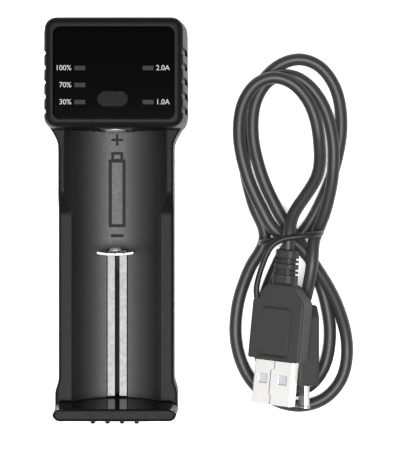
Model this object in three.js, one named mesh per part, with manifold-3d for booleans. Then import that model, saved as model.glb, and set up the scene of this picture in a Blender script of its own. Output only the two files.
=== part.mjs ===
// A single-bay charger for cylindrical cells, and its USB lead tied in a hank beside it.
// Millimetres. +Z is up, out of the bay; +Y runs from the foot to the head; +X is to the right.
// The origin is the middle of the charger's underside.

import * as THREE from "three";
import { mergeVertices } from "three/addons/utils/BufferGeometryUtils.js";
import Module from "manifold-3d";

const wasm = await Module();
wasm.setup();

// Driving dimensions
const GAP = 0.3; // between pieces that touch
const WALL = 1.6; // moulded wall thickness
const HALF_LENGTH = 57.75; // half of the charger's length
const HEAD_START = 26.4; // the bay's end wall, at the head
const FLOOR_END = -52.4; // the bay's end wall, at the foot, where it meets the floor
const FOOT_TOP_END = -54.2; // the same wall at its top edge
const HEAD_HALF_WIDTH = 20.8;
const BODY_HALF_WIDTH = 16.9;
const FOOT_HALF_WIDTH = 17.95;
const HEAD_TOP = 30;
const FOOT_TOP = 27;
const PARTING = 10; // the upper housing starts here
const RAIL_LOW = 14.4; // rail height beside the slider's travel
const RAIL_HIGH = 17.7; // rail height beside the head
const STEP_LOW = 1.35; // the rails rise from here
const STEP_HIGH = 8.6; // to here
const TROUGH_RADIUS = 16;
const FLOOR = 8; // lowest line of the trough
const TROUGH_AXIS = FLOOR + TROUGH_RADIUS;

const PANEL = { width: 34, length: 25.7, y: 41.9, bottom: 28.2, top: 29.7, corner: 1.9 };
const WINDOW = { width: 3.1, length: 1.25 };
const WINDOWS = [
  { name: "charge_window_full", x: -9.6, y: 43.2 },
  { name: "charge_window_middle", x: -9.6, y: 38.35 },
  { name: "charge_window_low", x: -9.6, y: 33.5 },
  { name: "current_window_high", x: 9.8, y: 43.2 },
  { name: "current_window_low", x: 9.8, y: 33.5 },
];
const BUTTON = { x: -0.3, y: 34.4, width: 8.5, length: 4.2, top: 29.9 };
const BOARD = { halfWidth: 12.9, start: 30.4, end: 55.4, bottom: 21.6, top: 23.2 };
const INLET = { width: 7.6, height: 2.9, start: 51.2, end: 56.9, top: 21.3 };

const STRIP = { inner: 0.72, outer: 2.8, start: -51.9, end: -9, lip: 5.2 };
const PLATE = { y: -9.6, halfWidth: 5.3, top: 21 };
const CELL_AXIS = 17; // height of the slider's dome

const SCREWS = [
  { name: "housing_screw_foot_left", x: -12.2, y: -48.4 },
  { name: "housing_screw_foot_right", x: 12.2, y: -48.4 },
  { name: "housing_screw_head_left", x: -16.2, y: 51.6 },
  { name: "housing_screw_head_right", x: 16.2, y: 51.6 },
];

const GRIP_PITCH = 4.2;
const CORD_DIAMETER = 3.7;
const HANK_HEIGHT = 2 * CORD_DIAMETER;

// Materials
const finish = (color, roughness, metalness = 0) =>
  new THREE.MeshStandardMaterial({ color, roughness, metalness });
const MATERIALS = {
  shell: finish(0x333335, 0.5),
  panel: finish(0x060606, 0.08),
  window: finish(0x3c3c3c, 0.35),
  button: finish(0x2e2e2e, 0.45),
  board: finish(0x0b6b35, 0.45),
  nickel: finish(0xc9c7c1, 0.25, 1),
  steel: finish(0xd2d2d2, 0.15, 1),
  chip: finish(0x1b1b1d, 0.5),
  led: finish(0xd9d8cc, 0.4),
  shroud: finish(0x111111, 0.7),
  wire: finish(0x8c1414, 0.5),
  cord: finish(0x3a3b3d, 0.5),
  overmould: finish(0x333436, 0.6),
  tongue: finish(0xe4e4e0, 0.5),
  tie: finish(0x1c1c1e, 0.5),
};

// Solids: three.js makes each shape, manifold-3d cuts and joins them.
function solid(geometry) {
  const bare = geometry.clone();
  bare.deleteAttribute("normal");
  bare.deleteAttribute("uv");
  const merged = mergeVertices(bare, 1e-5);
  return new wasm.Manifold(
    new wasm.Mesh({
      numProp: 3,
      vertProperties: new Float32Array(merged.attributes.position.array),
      triVerts: new Uint32Array(merged.index.array),
    }),
  );
}

function geometryOf(manifold) {
  const mesh = manifold.getMesh();
  const geometry = new THREE.BufferGeometry();
  geometry.setAttribute("position", new THREE.BufferAttribute(new Float32Array(mesh.vertProperties), 3));
  geometry.setIndex(new THREE.BufferAttribute(new Uint32Array(mesh.triVerts), 1));
  const flat = geometry.toNonIndexed();
  flat.computeVertexNormals();
  return flat;
}

const joined = (first, ...others) => others.reduce((whole, piece) => whole.add(piece), first);
const cut = (first, ...others) => others.reduce((whole, piece) => whole.subtract(piece), first);

function block(x0, x1, y0, y1, z0, z1) {
  const geometry = new THREE.BoxGeometry(x1 - x0, y1 - y0, z1 - z0);
  geometry.translate((x0 + x1) / 2, (y0 + y1) / 2, (z0 + z1) / 2);
  return geometry;
}

const solidBlock = (...limits) => solid(block(...limits));

function rodAlongY(radius, y0, y1, x, z, sides) {
  const geometry = new THREE.CylinderGeometry(radius, radius, y1 - y0, sides);
  geometry.translate(x, (y0 + y1) / 2, z);
  return geometry;
}

function rodAlongZ(radius, z0, z1, x, y, sides) {
  const geometry = new THREE.CylinderGeometry(radius, radius, z1 - z0, sides);
  geometry.rotateX(Math.PI / 2);
  geometry.translate(x, y, (z0 + z1) / 2);
  return geometry;
}

function extrudeUp(shape, z0, z1, curveSegments = 6) {
  const geometry = new THREE.ExtrudeGeometry(shape, { depth: z1 - z0, bevelEnabled: false, curveSegments });
  geometry.translate(0, 0, z0);
  return geometry;
}

// Extrudes a side view, given as [y, z] points, across the charger from x0 to x1.
function extrudeAcross(points, x0, x1) {
  const shape = new THREE.Shape(points.map(([y, z]) => new THREE.Vector2(y, z)));
  const geometry = new THREE.ExtrudeGeometry(shape, { depth: x1 - x0, bevelEnabled: false });
  geometry.rotateY(Math.PI / 2);
  geometry.rotateX(Math.PI / 2);
  geometry.translate(x0, 0, 0);
  return geometry;
}

function roundedRectangle(width, length, corner, x = 0, y = 0) {
  const shape = new THREE.Shape();
  const right = x + width / 2 - corner;
  const left = x - width / 2 + corner;
  const far = y + length / 2 - corner;
  const near = y - length / 2 + corner;
  shape.absarc(right, near, corner, -Math.PI / 2, 0);
  shape.absarc(right, far, corner, 0, Math.PI / 2);
  shape.absarc(left, far, corner, Math.PI / 2, Math.PI);
  shape.absarc(left, near, corner, Math.PI, 1.5 * Math.PI);
  return shape;
}

// A closed solid through stacked outlines; every ring has the same number of points.
function stack(rings) {
  const count = rings[0].points.length;
  const positions = rings.flatMap(({ z, points }) => points.flatMap((p) => [p.x, p.y, z]));
  const index = [];
  for (let ring = 0; ring + 1 < rings.length; ring += 1) {
    for (let i = 0; i < count; i += 1) {
      const here = ring * count + i;
      const next = ring * count + ((i + 1) % count);
      index.push(here, next, next + count, here, next + count, here + count);
    }
  }
  const lid = THREE.ShapeUtils.triangulateShape(rings[0].points, []);
  const top = (rings.length - 1) * count;
  for (const [a, b, c] of lid) {
    index.push(c, b, a);
    index.push(top + a, top + b, top + c);
  }
  const geometry = new THREE.BufferGeometry();
  geometry.setAttribute("position", new THREE.Float32BufferAttribute(positions, 3));
  geometry.setIndex(index);
  return geometry;
}

// The housing's plan outline, drawn in by inset: foot, waist and shoulders, then the head.
function housingOutline(inset = 0) {
  const corner = { foot: 2.2, head: 4 };
  const end = HALF_LENGTH - inset;
  const foot = FOOT_HALF_WIDTH - inset;
  const body = BODY_HALF_WIDTH - inset;
  const head = HEAD_HALF_WIDTH - inset;
  const half = new THREE.Path();
  half.moveTo(0, -end);
  half.absarc(foot - corner.foot, -end + corner.foot, corner.foot, -Math.PI / 2, 0);
  half.lineTo(foot, -51);
  half.bezierCurveTo(foot, -48.5, body, -48.5, body, -46);
  half.lineTo(body, 21.5);
  half.bezierCurveTo(body, 26, head, 26.5, head, 30.2);
  half.absarc(head - corner.head, end - corner.head, corner.head, 0, Math.PI / 2);
  half.lineTo(0, end);
  const right = half.getPoints(6);
  const left = right.slice(1, -1).reverse().map((p) => new THREE.Vector2(-p.x, p.y));
  return right.concat(left);
}

const housingShape = (inset) => new THREE.Shape(housingOutline(inset));

// Grooves between the grip ribs on the head's two sides.
function headGrips(z0, z1) {
  const depth = 0.55;
  const middle = 39.8;
  const ribs = 4;
  const groove = GRIP_PITCH - 2.1;
  const grooves = [];
  for (let i = 0; i <= ribs; i += 1) {
    const y = middle + (i - ribs / 2) * GRIP_PITCH;
    for (const side of [-1, 1]) {
      const inner = side * (HEAD_HALF_WIDTH - depth);
      const outer = side * (HEAD_HALF_WIDTH + 1);
      grooves.push(
        solidBlock(Math.min(inner, outer), Math.max(inner, outer), y - groove / 2, y + groove / 2, z0, z1),
      );
    }
  }
  return grooves;
}

// Grooves between the grip ribs on the foot's end face.
function footGrips(z0, z1) {
  const depth = 0.35;
  const ribs = 4;
  const groove = GRIP_PITCH - 1.2;
  const grooves = [];
  for (let i = 0; i <= ribs; i += 1) {
    const x = (i - ribs / 2) * GRIP_PITCH;
    grooves.push(
      solidBlock(x - groove / 2, x + groove / 2, -HALF_LENGTH - 1, -HALF_LENGTH + depth, z0, z1),
    );
  }
  return grooves;
}

function headBlock() {
  const ring = (z, halfWidth, start, end, corner) => ({
    z,
    points: roundedRectangle(2 * halfWidth, end - start, corner, 0, (start + end) / 2).getPoints(5),
  });
  const rings = [
    ring(PARTING - 1.7, HEAD_HALF_WIDTH, HEAD_START, HALF_LENGTH, 4),
    ring(19, HEAD_HALF_WIDTH, HEAD_START, HALF_LENGTH, 4),
    ring(28.7, 19.8, HEAD_START, HALF_LENGTH, 3),
    ring(29.6, 19.3, HEAD_START + 0.6, HALF_LENGTH - 0.7, 2.8),
    ring(HEAD_TOP, 18.4, 27.95, 55.85, 2.4),
  ];
  return solid(stack(rings));
}

function footWall() {
  const profile = [
    [-60, PARTING - 1.3],
    [FLOOR_END + 0.1, PARTING - 1.3],
    [FOOT_TOP_END, FOOT_TOP],
    [-60, FOOT_TOP],
  ];
  const outside = solid(extrudeUp(housingShape(), PARTING - 1.5, FOOT_TOP + 1));
  return outside.intersect(solid(extrudeAcross(profile, -25, 25)));
}

// The trough, its two stepped rails and the pan that hangs below the parting line.
function trunk() {
  const underside = FLOOR - WALL - 0.1;
  const rails = solid(extrudeUp(housingShape(0.15), PARTING - 1, RAIL_HIGH));
  const pan = solidBlock(-11.2, 11.2, FOOT_TOP_END - 0.5, HEAD_START + WALL, underside, PARTING + 1);
  const step = [
    [FLOOR_END - 0.6, RAIL_LOW],
    [STEP_LOW, RAIL_LOW],
    [STEP_HIGH, RAIL_HIGH],
    [STEP_HIGH, RAIL_HIGH + 1],
    [FLOOR_END - 0.6, RAIL_HIGH + 1],
  ];
  const trough = rodAlongY(TROUGH_RADIUS, FLOOR_END, HEAD_START + 0.05, 0, TROUGH_AXIS, 72);
  const outerTrough = rodAlongY(TROUGH_RADIUS + WALL, -60, 60, 0, TROUGH_AXIS, 72);
  const hollow = cut(
    solidBlock(-15.2, 15.2, -50.6, HEAD_START - 1.4, underside - 1, RAIL_LOW - WALL),
    solid(outerTrough),
  );
  return cut(joined(rails, pan), solid(extrudeAcross(step, -25, 25)), solid(trough), hollow);
}

function screwPost(x, y, z0, z1) {
  return solid(rodAlongZ(2.6, z0, z1, x, y, 16));
}

// Everything below the parting line except the pan.
function belowParting() {
  const pan = solidBlock(-10.6, 10.6, FOOT_TOP_END, HEAD_START + WALL + 1, -2, PARTING + 1);
  return cut(solidBlock(-25, 25, -60, 60, -1, PARTING), pan);
}

const pilotHole = (x, y, z0, z1) => solid(rodAlongZ(1.3, z0, z1, x, y, 12));

function upperHousing() {
  const far = HALF_LENGTH - WALL;
  const cavity = solidBlock(-19, 19, HEAD_START + WALL, far, PARTING - 5, 26.4);
  const recess = roundedRectangle(PANEL.width + 0.4, PANEL.length + 0.4, PANEL.corner + 0.2, 0, PANEL.y);
  const ledge = roundedRectangle(31, 22.7, 1, 0, PANEL.y);
  const footHollow = solidBlock(-15.9, 15.9, -HALF_LENGTH + WALL, FOOT_TOP_END - 0.8, PARTING - 1, 25.2);
  const contactWindow = solidBlock(-5, 5, HEAD_START - 1, HEAD_START + WALL + 1, FLOOR - GAP, 25);
  const inletHole = solidBlock(-4.3, 4.3, far - 1, HALF_LENGTH + 1, 18, 21.7);
  const stripRecess = solidBlock(-3.1, 3.1, STRIP.start - GAP, STRIP.end + GAP, 7.2, 9);
  const slot = solidBlock(-1.45, 1.45, STRIP.start - GAP, STRIP.end + GAP, 5, 9);
  const posts = SCREWS.map(({ x, y }) => screwPost(x, y, 6.2, y > 0 ? 26.6 : 10.9));
  const pilots = SCREWS.map(({ x, y }) => pilotHole(x, y, 6, 10.2));
  const shell = cut(
    joined(trunk(), footWall(), headBlock()),
    cavity,
    footHollow,
    solid(extrudeUp(recess, PANEL.bottom - GAP, HEAD_TOP + 1, 4)),
    solid(extrudeUp(ledge, 26, HEAD_TOP, 3)),
    contactWindow,
    inletHole,
    stripRecess,
    slot,
    belowParting(),
    ...headGrips(PARTING - 1, 28.4),
    ...footGrips(PARTING - 1, 24),
  );
  return cut(joined(shell, ...posts), ...pilots);
}

function lowerHousing() {
  const rim = PARTING - GAP;
  const chamfer = 0.9;
  const outside = stack([
    { z: 0, points: housingOutline(chamfer) },
    { z: chamfer, points: housingOutline(0.1) },
    { z: rim, points: housingOutline() },
  ]);
  const inside = solid(extrudeUp(housingShape(WALL + 0.1), WALL, rim + 1));
  const bosses = SCREWS.map(({ x, y }) => solid(rodAlongZ(3.3, WALL / 2, 5.9, x, y, 16)));
  const counterbores = SCREWS.map(({ x, y }) => solid(rodAlongZ(2.55, -1, 2.6, x, y, 16)));
  const holes = SCREWS.map(({ x, y }) => pilotHole(x, y, 2, 7));
  const tray = cut(solid(outside), inside, ...headGrips(3, rim + 1), ...footGrips(3, rim + 1));
  return cut(joined(tray, ...bosses), ...counterbores, ...holes);
}

function displayPanel() {
  const { width, length, corner, y, bottom, top } = PANEL;
  const plate = solid(extrudeUp(roundedRectangle(width, length, corner, 0, y), bottom, top, 4));
  const holes = WINDOWS.map((w) => {
    const halfWidth = WINDOW.width / 2 + 0.1;
    const halfLength = WINDOW.length / 2 + 0.1;
    return solidBlock(w.x - halfWidth, w.x + halfWidth, w.y - halfLength, w.y + halfLength, bottom - 1, top + 1);
  });
  const buttonHole = solid(extrudeUp(buttonShape(0.2), bottom - 1, top + 1));
  return cut(plate, buttonHole, ...holes);
}

// A long octagon, wider by margin all round.
function buttonShape(margin) {
  const halfWidth = BUTTON.width / 2 + margin;
  const halfLength = BUTTON.length / 2 + margin;
  const chamferX = 1.5;
  const chamferY = 1.25;
  const right = [
    [halfWidth - chamferX, -halfLength],
    [halfWidth, -halfLength + chamferY],
    [halfWidth, halfLength - chamferY],
    [halfWidth - chamferX, halfLength],
  ];
  const left = right.map(([x, y]) => [-x, -y]);
  return new THREE.Shape([...right, ...left].map(([x, y]) => new THREE.Vector2(BUTTON.x + x, BUTTON.y + y)));
}

// The cap shows through the panel; the flange under it keeps it in; the stem meets the switch.
function modeButton() {
  const { x, y, top } = BUTTON;
  const cap = solid(extrudeUp(buttonShape(0), 27.5, top));
  const flange = solidBlock(x - 5.2, x + 5.2, y - 2.9, y + 2.9, 26.9, PANEL.bottom - GAP);
  const stem = solid(rodAlongZ(1.4, 26.4, 27, x, y, 12));
  return joined(flange, cap, stem);
}

function switchBase() {
  const { x, y } = BUTTON;
  const body = solidBlock(x - 3, x + 3, y - 3, y + 3, BOARD.top + GAP, 25.6);
  return cut(body, solid(rodAlongZ(1.8, 24.2, 26, x, y, 16)));
}

function lightShroud(x, rows) {
  const ys = rows.map((row) => row.y);
  const top = PANEL.bottom - GAP;
  const bar = solidBlock(x - 2.3, x + 2.3, Math.min(...ys) - 1.7, Math.max(...ys) + 1.7, 24.6, top);
  const holes = ys.map((y) => solidBlock(x - 1.6, x + 1.6, y - 0.7, y + 0.7, 24, top + 1));
  return cut(bar, ...holes);
}

// An open-mouthed shell of sheet metal lying along Y, with its mouth at the given end.
function plugShell(width, height, length, wall, mouth) {
  const outer = solidBlock(-width / 2, width / 2, -length / 2, length / 2, -height / 2, height / 2);
  const reach = (mouth * length) / 2;
  const inner = solidBlock(
    -width / 2 + wall,
    width / 2 - wall,
    Math.min(-reach + mouth * 0.8, reach + mouth),
    Math.max(-reach + mouth * 0.8, reach + mouth),
    -height / 2 + wall,
    height / 2 - wall,
  );
  return cut(outer, inner);
}

function positiveContact() {
  const rise = 0.75;
  const radius = 3.15;
  const profile = [new THREE.Vector2(0, 0), new THREE.Vector2(radius, 0), new THREE.Vector2(radius, 0.3)];
  for (let i = 1; i <= 4; i += 1) {
    const angle = (i / 4) * (Math.PI / 2);
    profile.push(new THREE.Vector2(i === 4 ? 0 : radius * Math.cos(angle), 0.3 + rise * Math.sin(angle)));
  }
  const geometry = new THREE.LatheGeometry(profile, 24);
  geometry.rotateX(Math.PI);
  return geometry;
}

function sliderDome() {
  const radius = 1.82;
  const profile = [new THREE.Vector2(0, 0), new THREE.Vector2(radius, 0), new THREE.Vector2(radius, 0.3)];
  for (let i = 1; i <= 4; i += 1) {
    const angle = (i / 4) * (Math.PI / 2);
    profile.push(new THREE.Vector2(i === 4 ? 0 : radius * Math.cos(angle), 0.3 + 0.98 * Math.sin(angle)));
  }
  return new THREE.LatheGeometry(profile, 20);
}

// A guide strip: its flat top lies flush with the floor, and its lip goes down beside the slot.
function guideStrip(side) {
  const profile = [
    [STRIP.inner, FLOOR],
    [STRIP.outer, FLOOR],
    [STRIP.outer, FLOOR - 0.5],
    [STRIP.inner + 0.4, FLOOR - 0.5],
    [STRIP.inner + 0.4, STRIP.lip],
    [STRIP.inner, STRIP.lip],
  ];
  const shape = new THREE.Shape(profile.map(([x, z]) => new THREE.Vector2(side * x, z)));
  const geometry = new THREE.ExtrudeGeometry(shape, { depth: STRIP.end - STRIP.start, bevelEnabled: false });
  geometry.rotateX(Math.PI / 2);
  geometry.translate(0, STRIP.end, 0);
  return geometry;
}

// A bent steel plate: a wide top flange, a tapering face and a neck that runs in the slot.
function sliderPlate() {
  const neck = STRIP.inner - GAP;
  const face = new THREE.Shape(
    [
      [neck, 5.2],
      [neck, 9.2],
      [1.9, 10.6],
      [3.4, 15.4],
      [PLATE.halfWidth, 18.4],
      [PLATE.halfWidth, PLATE.top],
      [-PLATE.halfWidth, PLATE.top],
      [-PLATE.halfWidth, 18.4],
      [-3.4, 15.4],
      [-1.9, 10.6],
      [-neck, 9.2],
      [-neck, 5.2],
    ].map(([x, z]) => new THREE.Vector2(x, z)),
  );
  const geometry = new THREE.ExtrudeGeometry(face, { depth: 0.6, bevelEnabled: false });
  geometry.rotateX(Math.PI / 2);
  geometry.translate(0, PLATE.y + 0.3, 0);
  const flange = solidBlock(-PLATE.halfWidth, PLATE.halfWidth, -10.1, -9, PLATE.top - 0.5, PLATE.top);
  return joined(solid(geometry), flange);
}

// The carriage runs under the floor and carries the plate's neck in a shallow socket.
function sliderCarriage() {
  const body = solidBlock(-3.6, 3.6, -14.5, -6.5, 2.1, 4.9);
  const hook = solidBlock(-0.5, 0.5, -6.6, -5.7, 2.4, 4.6);
  const keel = solidBlock(-2, 2, -13, -8, 1.95, 2.2);
  return joined(body, hook, keel);
}

class Helix extends THREE.Curve {
  constructor(radius, turns, y0, y1, z) {
    super();
    Object.assign(this, { radius, turns, y0, y1, z });
  }

  getPoint(t) {
    const angle = 2 * Math.PI * this.turns * t;
    const y = this.y0 + (this.y1 - this.y0) * t;
    return new THREE.Vector3(this.radius * Math.cos(angle), y, this.z + this.radius * Math.sin(angle));
  }
}

function roundSection(radius, sides) {
  const points = [];
  for (let i = 0; i < sides; i += 1) {
    const angle = (2 * Math.PI * i) / sides;
    points.push(new THREE.Vector2(radius * Math.cos(angle), radius * Math.sin(angle)));
  }
  return new THREE.Shape(points);
}

function rodAlong(path, radius, sides, steps) {
  return new THREE.ExtrudeGeometry(roundSection(radius, sides), { extrudePath: path, steps });
}

function springAnchor() {
  const base = solidBlock(-2.4, 2.4, 22.7, 25.2, WALL + 0.1, 3);
  const hook = solidBlock(-0.5, 0.5, 22.7, 23.6, 2.9, 4.7);
  return joined(base, hook);
}

function wire(points, steps) {
  const path = new THREE.CatmullRomCurve3(points.map(([x, y, z]) => new THREE.Vector3(x, y, z)));
  return rodAlong(path, 0.6, 8, steps);
}

function screw() {
  const head = solid(rodAlongZ(2.2, 0.7, 2.3, 0, 0, 16));
  const shank = solid(rodAlongZ(1, 2.2, 9.8, 0, 0, 10));
  const slotA = solidBlock(-1.3, 1.3, -0.25, 0.25, 0.2, 1.5);
  const slotB = solidBlock(-0.25, 0.25, -1.3, 1.3, 0.2, 1.5);
  return cut(joined(head, shank), slotA, slotB);
}

// Lead pieces are drawn along their own Y axis, with the cord leaving at +Y.
function usbAOvermould() {
  const outline = new THREE.Shape(
    [
      [-8, -8.7],
      [8, -8.7],
      [8, 8.7],
      [4, 13.6],
      [-4, 13.6],
      [-8, 8.7],
    ].map(([x, y]) => new THREE.Vector2(x, y)),
  );
  const body = new THREE.ExtrudeGeometry(outline, {
    depth: 6,
    bevelThickness: 0.8,
    bevelSize: 0.8,
    bevelOffset: -0.8,
    bevelSegments: 2,
  });
  body.translate(0, 0, -3);
  const profile = [
    [0, 12],
    [3.7, 12],
    [3.7, 16.4],
    [2.9, 16.4],
    [2.9, 17.6],
    [3.6, 17.6],
    [3.6, 18.9],
    [2.8, 18.9],
    [2.8, 20.1],
    [3.4, 20.1],
    [3.3, 23.4],
    [0, 23.4],
  ].map(([radius, y]) => new THREE.Vector2(radius, y));
  return joined(solid(body), solid(new THREE.LatheGeometry(profile, 16)));
}

function usbAShell() {
  const length = 12.8;
  const shell = plugShell(12, 4.5, length, 0.3, -1);
  const windows = [-3.1, 3.1].flatMap((x) =>
    [-2.6, 1.6].map((z) => solidBlock(x - 1.2, x + 1.2, -2.4, 0.3, z, z + 1)),
  );
  return cut(shell, ...windows);
}

function microOvermould() {
  const outline = new THREE.Shape(
    [
      [-5.3, -11.7],
      [5.3, -11.7],
      [5.3, 8.6],
      [3.2, 11.7],
      [-3.2, 11.7],
      [-5.3, 8.6],
    ].map(([x, y]) => new THREE.Vector2(x, y)),
  );
  const body = new THREE.ExtrudeGeometry(outline, {
    depth: 4.6,
    bevelThickness: 1,
    bevelSize: 1,
    bevelOffset: -1,
    bevelSegments: 2,
  });
  body.translate(0, 0, -2.3);
  return solid(body);
}

// The outline of the tied hank: one lobe above the tie, one below, and a waist between them.
function hankOutline() {
  const points = [
    [44.2, -5.4],
    [40, 4],
    [33.6, 17],
    [32.9, 28],
    [36.5, 38],
    [44, 45.6],
    [54.6, 49.4],
    [63, 45.4],
    [68, 36],
    [67.4, 25],
    [62.6, 10],
    [58.4, -5.4],
    [64.6, -15],
    [70.2, -31],
    [68.8, -44],
    [63, -53],
    [53, -56.6],
    [43, -53.6],
    [36.6, -46],
    [35.3, -33],
    [39, -18],
  ].map(([x, y]) => new THREE.Vector2(x, y));
  return new THREE.Shape(new THREE.SplineCurve([...points, points[0]]).getPoints(60).slice(0, -1));
}

// The lower lobe is one cord deep and leaves room for the small plug inside its loops.
function leadHank() {
  const full = solid(extrudeUp(hankOutline(), 0, CORD_DIAMETER));
  const upper = solid(extrudeUp(hankOutline(), CORD_DIAMETER - 0.1, HANK_HEIGHT)).intersect(
    solidBlock(20, 80, -18, 60, 0, 20),
  );
  const inside = solid(extrudeUp(roundedRectangle(17, 30.5, 6, 53.6, -34), -1, 20));
  const tieRoom = cut(
    solidBlock(20, 80, -7.6, -3.2, -1, 20),
    solidBlock(TIE.left + 2.4, TIE.right - 2.4, -9, 0, TIE.wire + 0.6, HANK_HEIGHT - 0.6),
  );
  return cut(joined(full, upper), inside, tieRoom);
}

const TIE = { left: 42.6, right: 59.8, y: -5.4, wire: 1.5, top: 9.2 };

function leadTie() {
  const width = TIE.right - TIE.left;
  const outer = roundedRectangle(width, TIE.top, 3, 0, TIE.top / 2);
  const inner = roundedRectangle(width - 2 * TIE.wire, TIE.top - 2 * TIE.wire, 1.6, 0, TIE.top / 2);
  outer.holes.push(inner);
  const geometry = new THREE.ExtrudeGeometry(outer, { depth: TIE.wire, bevelEnabled: false, curveSegments: 4 });
  geometry.rotateX(Math.PI / 2);
  return geometry;
}

// Assembly
const group = new THREE.Group();
const charger = new THREE.Group();
const lead = new THREE.Group();
group.add(charger, lead);

function add(parent, name, shape, material, position = [0, 0, 0]) {
  const geometry = shape.getMesh ? geometryOf(shape) : shape;
  const mesh = new THREE.Mesh(geometry, material.clone());
  mesh.name = name;
  mesh.position.set(...position);
  parent.add(mesh);
  return mesh;
}

function buildHousing() {
  add(charger, "upper_housing", upperHousing(), MATERIALS.shell);
  add(charger, "lower_housing", lowerHousing(), MATERIALS.shell);
  for (const { name, x, y } of SCREWS) {
    add(charger, name, screw(), MATERIALS.steel, [x, y, 0]);
  }
}

function buildDisplay() {
  add(charger, "display_panel", displayPanel(), MATERIALS.panel);
  for (const { name, x, y } of WINDOWS) {
    const insert = new THREE.BoxGeometry(WINDOW.width, WINDOW.length, 1.4);
    add(charger, name, insert, MATERIALS.window, [x, y, PANEL.top - 0.7]);
    const led = new THREE.BoxGeometry(2, 1.25, 0.8);
    add(charger, name.replace("window", "led"), led, MATERIALS.led, [x, y, BOARD.top + GAP + 0.4]);
  }
  add(charger, "mode_button", modeButton(), MATERIALS.button);
  add(charger, "switch_base", switchBase(), MATERIALS.chip);
  const plunger = rodAlongZ(1.5, 25, 26.2, BUTTON.x, BUTTON.y, 16);
  add(charger, "switch_plunger", plunger, MATERIALS.button);
  add(charger, "light_shroud_charge", lightShroud(-9.6, WINDOWS.slice(0, 3)), MATERIALS.shroud);
  add(charger, "light_shroud_current", lightShroud(9.8, WINDOWS.slice(3)), MATERIALS.shroud);
}

function buildElectronics() {
  const { halfWidth, start, end, bottom, top } = BOARD;
  const under = bottom - GAP;
  add(charger, "main_board", block(-halfWidth, halfWidth, start, end, bottom, top), MATERIALS.board);
  add(charger, "controller_chip", block(-9, -2.8, 38, 43, under - 1.5, under), MATERIALS.chip);
  add(charger, "charging_chip", block(1, 6, 38.4, 42.4, under - 1.5, under), MATERIALS.chip);
  add(charger, "power_inductor", block(2.2, 9.2, 44.6, 50.4, under - 3.8, under), MATERIALS.chip);
  add(charger, "input_capacitor", rodAlongZ(2.5, under - 6, under, -8.4, 48.4, 20), MATERIALS.steel);
  add(charger, "output_capacitor", rodAlongZ(2.5, under - 6, under, 9, 34.4, 20), MATERIALS.steel);
  const inletMiddle = (INLET.start + INLET.end) / 2;
  const inletHeight = INLET.top - INLET.height / 2;
  const inlet = plugShell(INLET.width, INLET.height, INLET.end - INLET.start, 0.35, 1);
  add(charger, "usb_inlet_shell", inlet, MATERIALS.nickel, [0, inletMiddle, inletHeight]);
  const tongue = new THREE.BoxGeometry(4.2, 3.4, 0.7);
  add(charger, "usb_inlet_tongue", tongue, MATERIALS.chip, [0, inletMiddle + 0.2, inletHeight]);
}

function buildContacts() {
  const contactBoard = block(-4.7, 4.7, HEAD_START + 0.15, HEAD_START + 1.35, FLOOR, 24.7);
  add(charger, "contact_board", contactBoard, MATERIALS.board);
  add(charger, "positive_contact", positiveContact(), MATERIALS.nickel, [0, HEAD_START - 0.15, 18.5]);
  add(charger, "guide_strip_left", guideStrip(-1), MATERIALS.steel);
  add(charger, "guide_strip_right", guideStrip(1), MATERIALS.steel);
  add(charger, "slider_plate", sliderPlate(), MATERIALS.steel);
  add(charger, "slider_dome", sliderDome(), MATERIALS.nickel, [0, PLATE.y + 0.6, CELL_AXIS]);
  add(charger, "slider_carriage", sliderCarriage(), MATERIALS.shroud);
  const spring = rodAlong(new Helix(1.1, 16, -5.3, 22.3, 3.5), 0.2, 5, 128);
  add(charger, "slider_spring", spring, MATERIALS.steel);
  add(charger, "spring_anchor", springAnchor(), MATERIALS.steel);
  const underFloor = [
    [6, -18, 4.2],
    [6, 10, 3.6],
    [6, 28, 4],
    [6, 33, 9],
    [6, 34, 20.8],
  ];
  add(charger, "negative_wire", wire(underFloor, 30), MATERIALS.wire);
  const toBoard = [
    [-2.5, 28.4, 19],
    [-2.5, 31, 17.6],
    [-2.5, 33.4, 20.8],
  ];
  add(charger, "positive_wire", wire(toBoard, 12), MATERIALS.wire);
}

// Where the plugs lie on the tied cord, and how far they are turned about Z and rolled about their length.
const LARGE_PLUG = { place: [47.9, -32, 16.1], turn: -5.5, roll: -24 };
const SMALL_PLUG = { place: [55.1, -36.8, 7.6], roll: -75 };

function buildLead() {
  const usbA = new THREE.Group();
  usbA.position.set(...LARGE_PLUG.place);
  usbA.rotation.z = THREE.MathUtils.degToRad(LARGE_PLUG.turn);
  const usbARoll = new THREE.Group();
  usbARoll.rotation.y = THREE.MathUtils.degToRad(LARGE_PLUG.roll);
  usbA.add(usbARoll);
  add(usbARoll, "usb_a_overmould", usbAOvermould(), MATERIALS.overmould);
  add(usbARoll, "usb_a_shell", usbAShell(), MATERIALS.nickel, [0, -8.7 - GAP - 6.4, 0]);
  add(usbARoll, "usb_a_tongue", new THREE.BoxGeometry(10.6, 11, 1.6), MATERIALS.tongue, [0, -16.2, 0.8]);

  const micro = new THREE.Group();
  micro.position.set(...SMALL_PLUG.place);
  const microRoll = new THREE.Group();
  microRoll.rotation.y = THREE.MathUtils.degToRad(SMALL_PLUG.roll);
  micro.add(microRoll);
  add(microRoll, "micro_usb_overmould", microOvermould(), MATERIALS.overmould);
  const microShell = plugShell(6.85, 1.85, 6.6, 0.25, -1);
  add(microRoll, "micro_usb_shell", microShell, MATERIALS.nickel, [0, -11.7 - GAP - 3.3, 0]);
  const microTongue = new THREE.BoxGeometry(4.4, 4.8, 0.5);
  add(microRoll, "micro_usb_tongue", microTongue, MATERIALS.chip, [0, -15.4, 0]);

  lead.add(usbA, micro);
  add(lead, "lead_hank", leadHank(), MATERIALS.cord);
  const tieMiddle = (TIE.left + TIE.right) / 2;
  add(lead, "lead_tie", leadTie(), MATERIALS.tie, [tieMiddle, TIE.y + TIE.wire / 2, 0]);
}

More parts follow.
